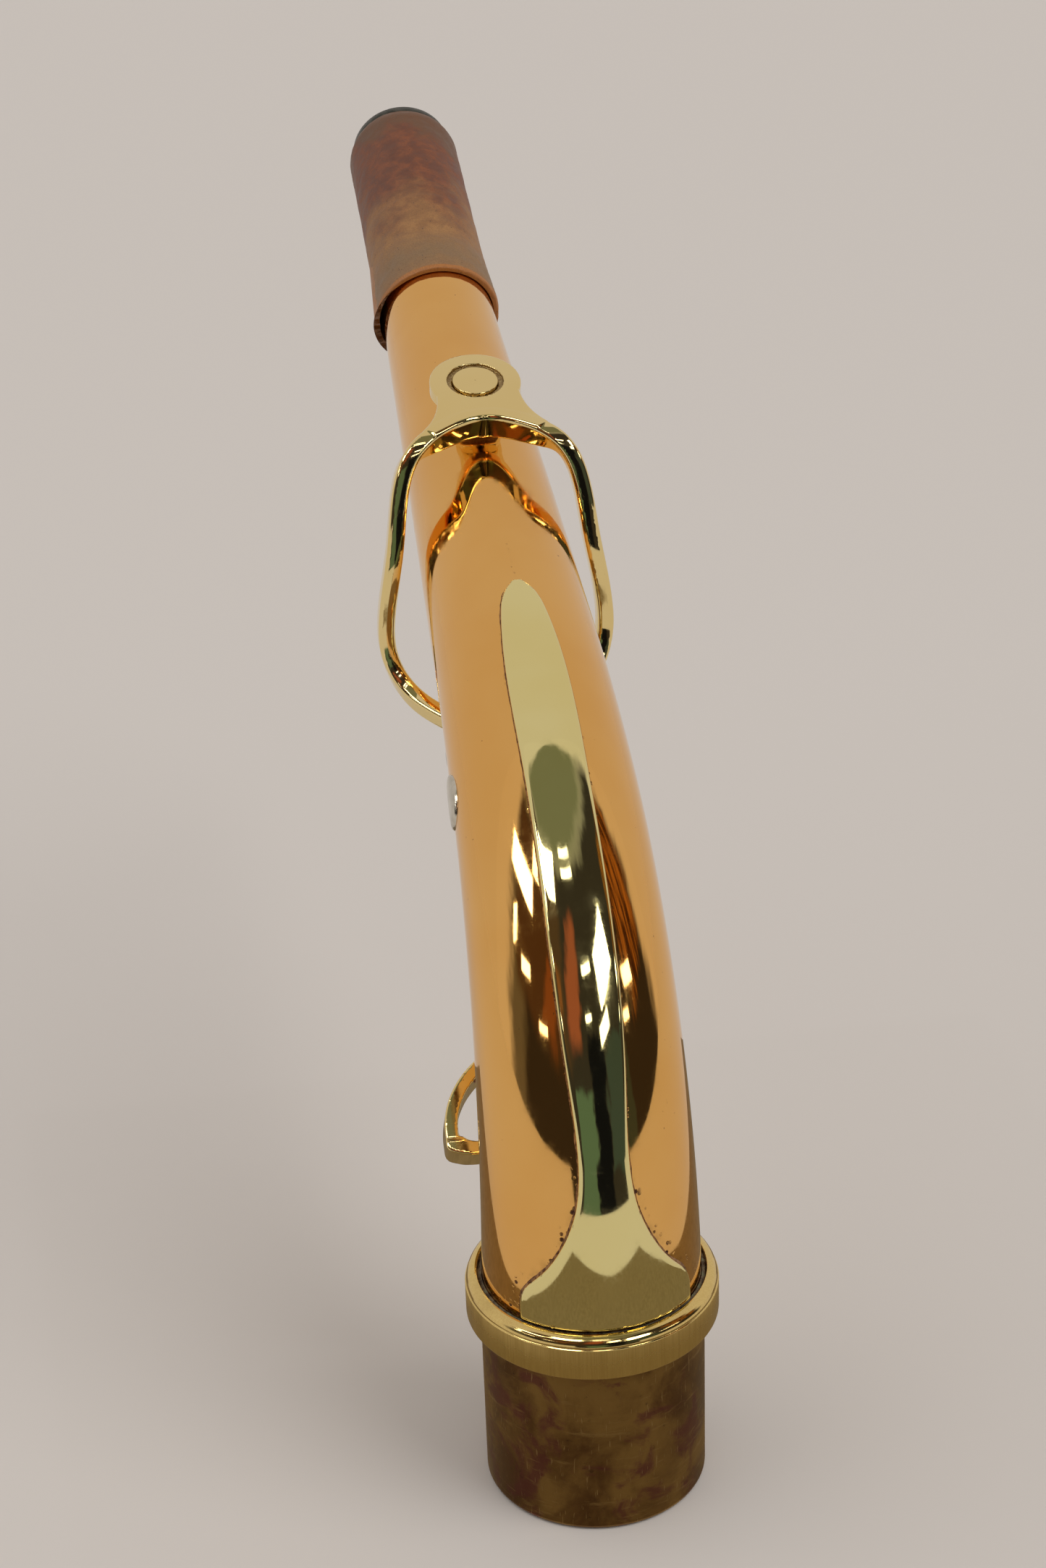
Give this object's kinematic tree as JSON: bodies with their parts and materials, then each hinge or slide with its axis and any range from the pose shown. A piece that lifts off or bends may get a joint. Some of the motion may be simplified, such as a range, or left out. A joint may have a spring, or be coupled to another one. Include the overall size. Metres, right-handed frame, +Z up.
{
  "type": "saxophone neck",
  "caption": "Tenor saxophone neck: bent conical tube with cork, tenon collar, spine strip and an underslung octave key that hinges below the tube.",
  "frame": {"origin": "centre of the tenon's open lower end", "axes": "+Z up the tenon's axis into the neck, +Y towards the mouthpiece end, X across; the neck bends in the plane X = 0"},
  "size_m": [0.0322, 0.1777, 0.1443],
  "materials": {
    "lacquered_copper": "polished, clear lacquer",
    "polished_brass": "polished",
    "collar_brass": "brushed band, polished rim",
    "raw_brass": "tarnished, scratched",
    "key_brass": "polished",
    "solder": "dull, stained",
    "cork": "worn, waxed cork",
    "aged_nickel": "tarnished",
    "steel": "turned",
    "nickel_silver": "polished",
    "blued_steel": "heat blued",
    "felt": "felt",
    "card": "matt card",
    "pad_leather": "waxed"
  },
  "bodies": {
    "neck": {"neck_tube": "lacquered_copper", "spine_strip": "polished_brass", "collar": "collar_brass", "tenon": "raw_brass", "solder_ring": "solder", "mouth_cork": "cork", "mouth_ring": "aged_nickel", "octave_vent": "polished_brass", "post_saddle": "polished_brass", "post_left": "polished_brass", "post_right": "polished_brass", "hinge_rod": "steel", "spring_slide": "nickel_silver", "plain_plaque": "nickel_silver"},
    "octave_key": {"key_loop": "key_brass", "hinge_barrel": "key_brass", "pad_cup": "key_brass", "pad_card": "card", "pad_felt": "felt", "pad_leather": "pad_leather", "lower_ring": "key_brass", "ring_lining": "felt", "key_lever": "key_brass", "flat_spring": "blued_steel", "spring_screw": "steel", "stop_corks": "cork"}
  },
  "joints": [
    {"name": "octave_key_hinge", "type": "hinge", "parent": "neck", "child": "octave_key", "pos_m": [0, 0.05036, 0.07596], "axis": [1, 0, 0], "range_deg": [0, 4.5], "stiffness_Nm_per_rad": 0.06, "springref_deg": -28.65, "deforming": ["flat_spring"]}
  ]
}
